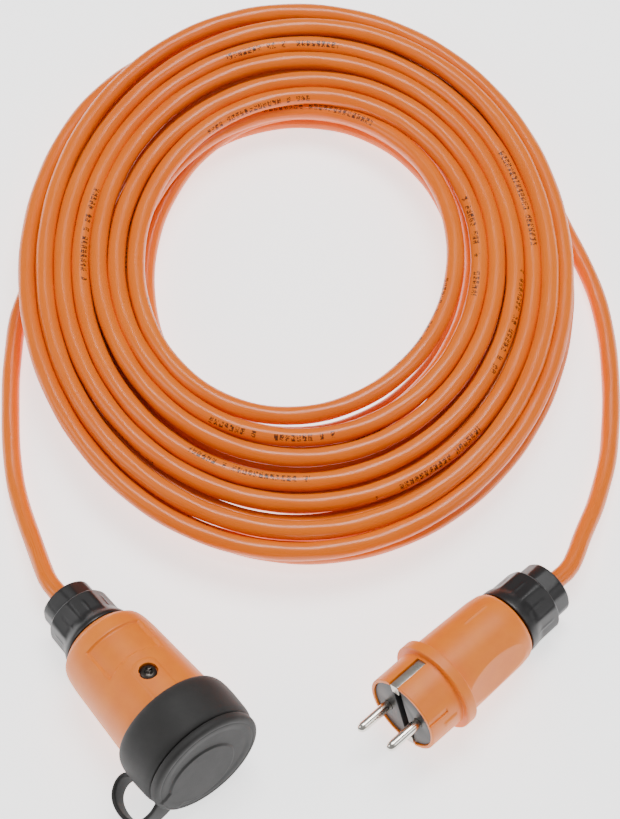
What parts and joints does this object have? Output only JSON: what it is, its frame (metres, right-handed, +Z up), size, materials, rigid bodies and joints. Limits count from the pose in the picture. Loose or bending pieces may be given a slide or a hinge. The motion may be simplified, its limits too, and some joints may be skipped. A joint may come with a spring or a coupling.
{
  "type": "extension cord",
  "caption": "Coiled heavy-duty extension cord with a rewirable earthed plug and a coupling socket closed by a tethered round lid",
  "frame": {"origin": "midway between the plug and the coupling socket, on the surface they lie on", "axes": "+X runs from the coupling socket to the plug, +Y from the two fittings to the coil, +Z up from the surface"},
  "size_m": [0.3004, 0.4416, 0.0598],
  "materials": {
    "cable_jacket": "glossy extruded polyurethane jacket",
    "moulded_shell": "satin injection-moulded shell",
    "moulded_nut": "satin glass-filled moulding",
    "rubber_collar": "matt moulded rubber",
    "contact_carrier": "matt thermoset moulding",
    "seal_rubber": "soft sealing rubber",
    "clamp_plastic": "natural polyamide",
    "nickel_brass": "nickel-plated turned brass",
    "spring_strip": "nickel-plated spring strip",
    "zinc_screw": "zinc-plated steel",
    "dark_screw": "blackened steel",
    "core_brown": "brown insulation",
    "core_blue": "blue insulation",
    "core_earth": "green and yellow insulation"
  },
  "bodies": {
    "cord_set": {"cord_coil": "cable_jacket", "coupling_lead": "cable_jacket", "plug_lead": "cable_jacket", "coupling_housing": "moulded_shell", "coupling_contact_carrier": "contact_carrier", "coupling_recess_wall": "contact_carrier", "coupling_contact_upper": "nickel_brass", "coupling_contact_lower": "nickel_brass", "coupling_terminal_screw_upper": "zinc_screw", "coupling_terminal_screw_lower": "zinc_screw", "coupling_earth_strap": "spring_strip", "coupling_earth_screw": "zinc_screw", "coupling_housing_screw": "dark_screw", "coupling_gland_seal": "seal_rubber", "coupling_core_brown": "core_brown", "coupling_core_blue": "core_blue", "coupling_core_earth": "core_earth", "coupling_collar": "rubber_collar", "strap_collar_half": "rubber_collar", "plug_housing": "moulded_shell", "plug_contact_carrier": "contact_carrier", "plug_pin_left": "nickel_brass", "plug_pin_right": "nickel_brass", "plug_terminal_screw_left": "zinc_screw", "plug_terminal_screw_right": "zinc_screw", "plug_earth_strap": "spring_strip", "plug_earth_screw": "zinc_screw", "plug_gland_seal": "seal_rubber", "plug_core_brown": "core_brown", "plug_core_blue": "core_blue", "plug_core_earth": "core_earth"},
    "lid": {"socket_lid": "rubber_collar", "strap_lid_half": "rubber_collar"},
    "coupling_nut": {"coupling_gland_nut": "moulded_nut"},
    "coupling_ring": {"coupling_clamping_ring": "clamp_plastic"},
    "plug_nut": {"plug_gland_nut": "moulded_nut"},
    "plug_ring": {"plug_clamping_ring": "clamp_plastic"}
  },
  "joints": [
    {"name": "lid_hinge", "type": "hinge", "parent": "cord_set", "child": "lid", "pos_m": [-0.08145, -0.06121, 0.01156], "axis": [0.0007, -0.1687, -0.9857], "range_deg": [0, 145]},
    {"name": "coupling_nut_travel", "type": "slide", "parent": "cord_set", "child": "coupling_ring", "axis": [-0.617, 0.7756, -0.1332], "range_m": [0, 0.006]},
    {"name": "coupling_nut_turn", "type": "hinge", "parent": "coupling_ring", "child": "coupling_nut", "pos_m": [-0.1107, 0.046, 0.01753], "axis": [-0.617, 0.7756, -0.1332], "range_deg": [0, 1080]},
    {"name": "plug_nut_travel", "type": "slide", "parent": "cord_set", "child": "plug_ring", "axis": [0.7156, 0.691, -0.1024], "range_m": [0, 0.006]},
    {"name": "plug_nut_turn", "type": "hinge", "parent": "plug_ring", "child": "plug_nut", "pos_m": [0.1114, 0.0544, 0.01505], "axis": [0.7156, 0.691, -0.1024], "range_deg": [0, 1080]}
  ],
  "couplings": [
    {"joint": "coupling_nut_travel", "follows": "coupling_nut_turn", "m_per_rad": 0.0003183},
    {"joint": "plug_nut_travel", "follows": "plug_nut_turn", "m_per_rad": 0.0003183}
  ]
}
